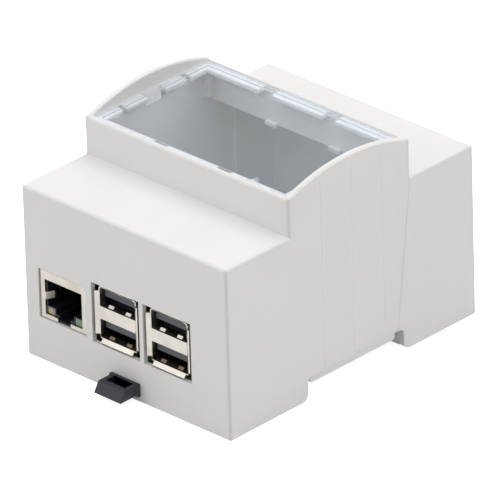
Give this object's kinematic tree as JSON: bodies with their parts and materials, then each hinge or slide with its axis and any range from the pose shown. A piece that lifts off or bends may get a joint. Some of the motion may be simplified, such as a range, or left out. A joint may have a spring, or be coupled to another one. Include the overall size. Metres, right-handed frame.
{
  "type": "din rail enclosure",
  "caption": "Light grey DIN rail housing with arched ends, a clear snap-in lid and a pull-out rail latch; a small computer's network and USB ports open through its front.",
  "frame": {"origin": "on the rail seat plane, below the middle of the housing", "axes": "+X along the rail, to the right when facing the ports; -Y out of the wall with the network and USB ports and the latch; +Z away from the rail, towards the lid"},
  "size_m": [0.071, 0.097, 0.0628],
  "materials": {
    "housing": "fine satin moulding, light grey",
    "base": "fine satin moulding, slightly greener grey",
    "latch": "satin black moulding",
    "lid": "clear polycarbonate with a faint cool tint",
    "board": "solder mask over laminate",
    "screw_steel": "zinc plated",
    "shell_tin": "tin plated sheet",
    "socket_black": "moulded black",
    "usb_plastic": "moulded dark grey",
    "contact_gold": "gold flashed",
    "lamp_green": "tinted light pipe, unlit",
    "lamp_yellow": "tinted light pipe, unlit",
    "chip_black": "moulded package",
    "connector_ivory": "moulded ivory",
    "components": "mixed small parts",
    "lamp_clear": "clear package, unlit"
  },
  "bodies": {
    "housing": {"cover": "housing", "base": "base", "clear_lid": "lid", "circuit_board": "board", "board_screws": "screw_steel", "ethernet_shield": "shell_tin", "ethernet_insert": "socket_black", "ethernet_contacts": "contact_gold", "link_lamp": "lamp_green", "activity_lamp": "lamp_yellow", "usb_shell_left": "shell_tin", "usb_insert_left": "usb_plastic", "usb_contacts_left": "contact_gold", "usb_shell_right": "shell_tin", "usb_insert_right": "usb_plastic", "usb_contacts_right": "contact_gold", "processor": "chip_black", "network_chip": "chip_black", "memory_chip": "chip_black", "header_strip": "socket_black", "header_pins": "contact_gold", "video_socket": "shell_tin", "video_tongue": "socket_black", "power_socket": "shell_tin", "power_tongue": "socket_black", "audio_jack": "socket_black", "camera_connector": "connector_ivory", "display_connector": "connector_ivory", "card_slot": "shell_tin", "small_components": "components", "status_lamps": "lamp_clear"},
    "latch": {"din_latch": "latch"}
  },
  "joints": [
    {"name": "latch_slide", "type": "slide", "parent": "housing", "child": "latch", "axis": [0, -1, 0], "range_m": [0, 0.005], "stiffness_N_per_m": 1500}
  ]
}
